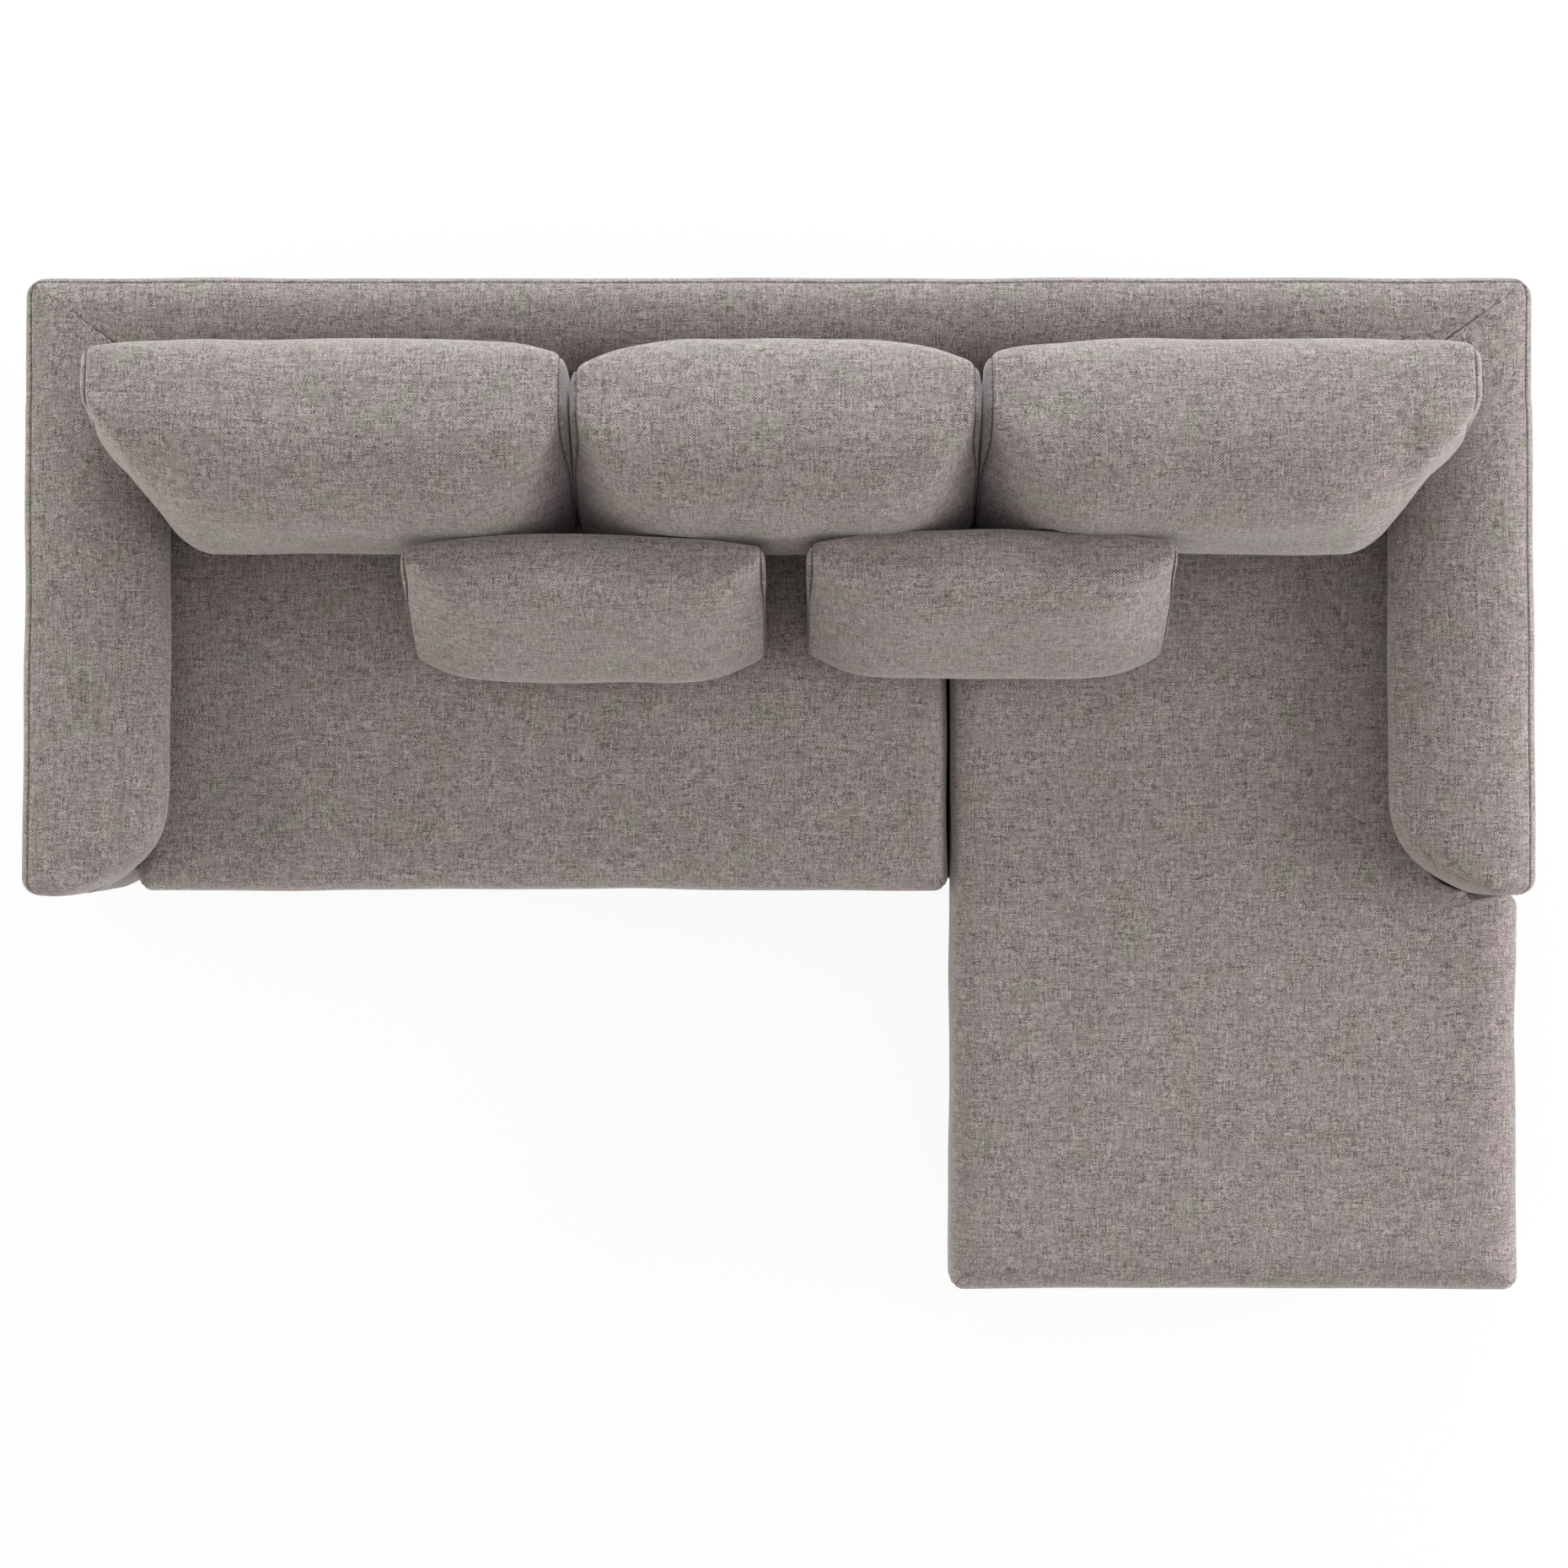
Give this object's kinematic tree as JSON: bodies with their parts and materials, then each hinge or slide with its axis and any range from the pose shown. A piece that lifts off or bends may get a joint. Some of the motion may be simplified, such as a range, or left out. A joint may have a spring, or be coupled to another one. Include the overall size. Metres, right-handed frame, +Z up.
{
  "type": "sectional sofa with chaise",
  "caption": "Upholstered sectional sofa with padded arms and back, a chaise on one side, an L-shaped seat cushion, loose back cushions and lumbar pillows on low turned legs.",
  "frame": {"origin": "On the floor, in the middle of the plan of the whole sofa with its chaise.", "axes": "+X is the right of someone who stands in front and faces the sofa, the side of the chaise. +Y is its back. +Z is up."},
  "size_m": [2.4998, 1.69, 0.8428],
  "materials": {
    "upholstery": "woven, matte",
    "foam": "open-cell foam, matte",
    "lining": "non-woven cloth, matte",
    "webbing": "elastic strap, matte",
    "timber": "bare board",
    "leg_wood": "satin varnish",
    "steel": "zinc plated"
  },
  "bodies": {
    "sofa_frame": {"right_arm_frame": "timber", "left_arm_frame": "timber", "back_frame": "timber", "right_side_rail": "timber", "left_side_rail": "timber", "front_rail": "timber", "back_rail": "timber", "centre_cross_rail": "timber", "seat_webbing": "webbing", "seat_deck": "lining", "front_rail_cover": "upholstery", "dust_cover": "lining", "right_arm_cover": "upholstery", "left_arm_cover": "upholstery", "back_cover": "upholstery", "right_arm_pad": "foam", "left_arm_pad": "foam", "back_pad": "foam", "front_left_leg": "leg_wood", "front_left_leg_plate": "steel", "front_right_leg": "leg_wood", "front_right_leg_plate": "steel", "rear_left_leg": "leg_wood", "rear_left_leg_plate": "steel", "rear_right_leg": "leg_wood", "rear_right_leg_plate": "steel", "centre_leg": "leg_wood", "centre_leg_plate": "steel"},
    "chaise_base": {"chaise_left_rail": "timber", "chaise_right_rail": "timber", "chaise_front_rail": "timber", "chaise_back_rail": "timber", "chaise_border_cover": "upholstery", "chaise_webbing": "webbing", "chaise_deck": "lining", "chaise_dust_cover": "lining", "chaise_front_left_leg": "leg_wood", "chaise_front_left_leg_plate": "steel", "chaise_front_right_leg": "leg_wood", "chaise_front_right_leg_plate": "steel", "chaise_rear_left_leg": "leg_wood", "chaise_rear_left_leg_plate": "steel", "chaise_rear_right_leg": "leg_wood", "chaise_rear_right_leg_plate": "steel"},
    "bench_cushion": {"bench_cushion_cover": "upholstery", "bench_cushion_core": "foam"},
    "chaise_cushion": {"chaise_cushion_cover": "upholstery", "chaise_cushion_core": "foam"},
    "left_back_cushion": {"left_back_cushion_cover": "upholstery", "left_back_cushion_core": "foam"},
    "middle_back_cushion": {"middle_back_cushion_cover": "upholstery", "middle_back_cushion_core": "foam"},
    "right_back_cushion": {"right_back_cushion_cover": "upholstery", "right_back_cushion_core": "foam"},
    "left_lumbar_pillow": {"left_lumbar_pillow_cover": "upholstery", "left_lumbar_pillow_core": "foam"},
    "right_lumbar_pillow": {"right_lumbar_pillow_cover": "upholstery", "right_lumbar_pillow_core": "foam"}
  },
  "joints": [
    {"name": "bench_cushion_slide", "type": "slide", "parent": "sofa_frame", "child": "bench_cushion", "axis": [0, -1, 0], "range_m": [0, 0.91]},
    {"name": "chaise_cushion_slide", "type": "slide", "parent": "sofa_frame", "child": "chaise_cushion", "axis": [0, -1, 0], "range_m": [0, 0.91]},
    {"name": "chaise_base_slide", "type": "slide", "parent": "sofa_frame", "child": "chaise_base", "axis": [0, -1, 0], "range_m": [0, 1]},
    {"name": "left_back_cushion_lift", "type": "slide", "parent": "sofa_frame", "child": "left_back_cushion", "axis": [0, 0.2419, 0.9703], "range_m": [0, 0.42]},
    {"name": "middle_back_cushion_lift", "type": "slide", "parent": "sofa_frame", "child": "middle_back_cushion", "axis": [0, 0.2419, 0.9703], "range_m": [0, 0.42]},
    {"name": "right_back_cushion_lift", "type": "slide", "parent": "sofa_frame", "child": "right_back_cushion", "axis": [0, 0.2419, 0.9703], "range_m": [0, 0.42]},
    {"name": "left_lumbar_pillow_lift", "type": "slide", "parent": "sofa_frame", "child": "left_lumbar_pillow", "axis": [0, 0, 1], "range_m": [0, 0.35]},
    {"name": "right_lumbar_pillow_lift", "type": "slide", "parent": "sofa_frame", "child": "right_lumbar_pillow", "axis": [0, 0, 1], "range_m": [0, 0.35]}
  ]
}
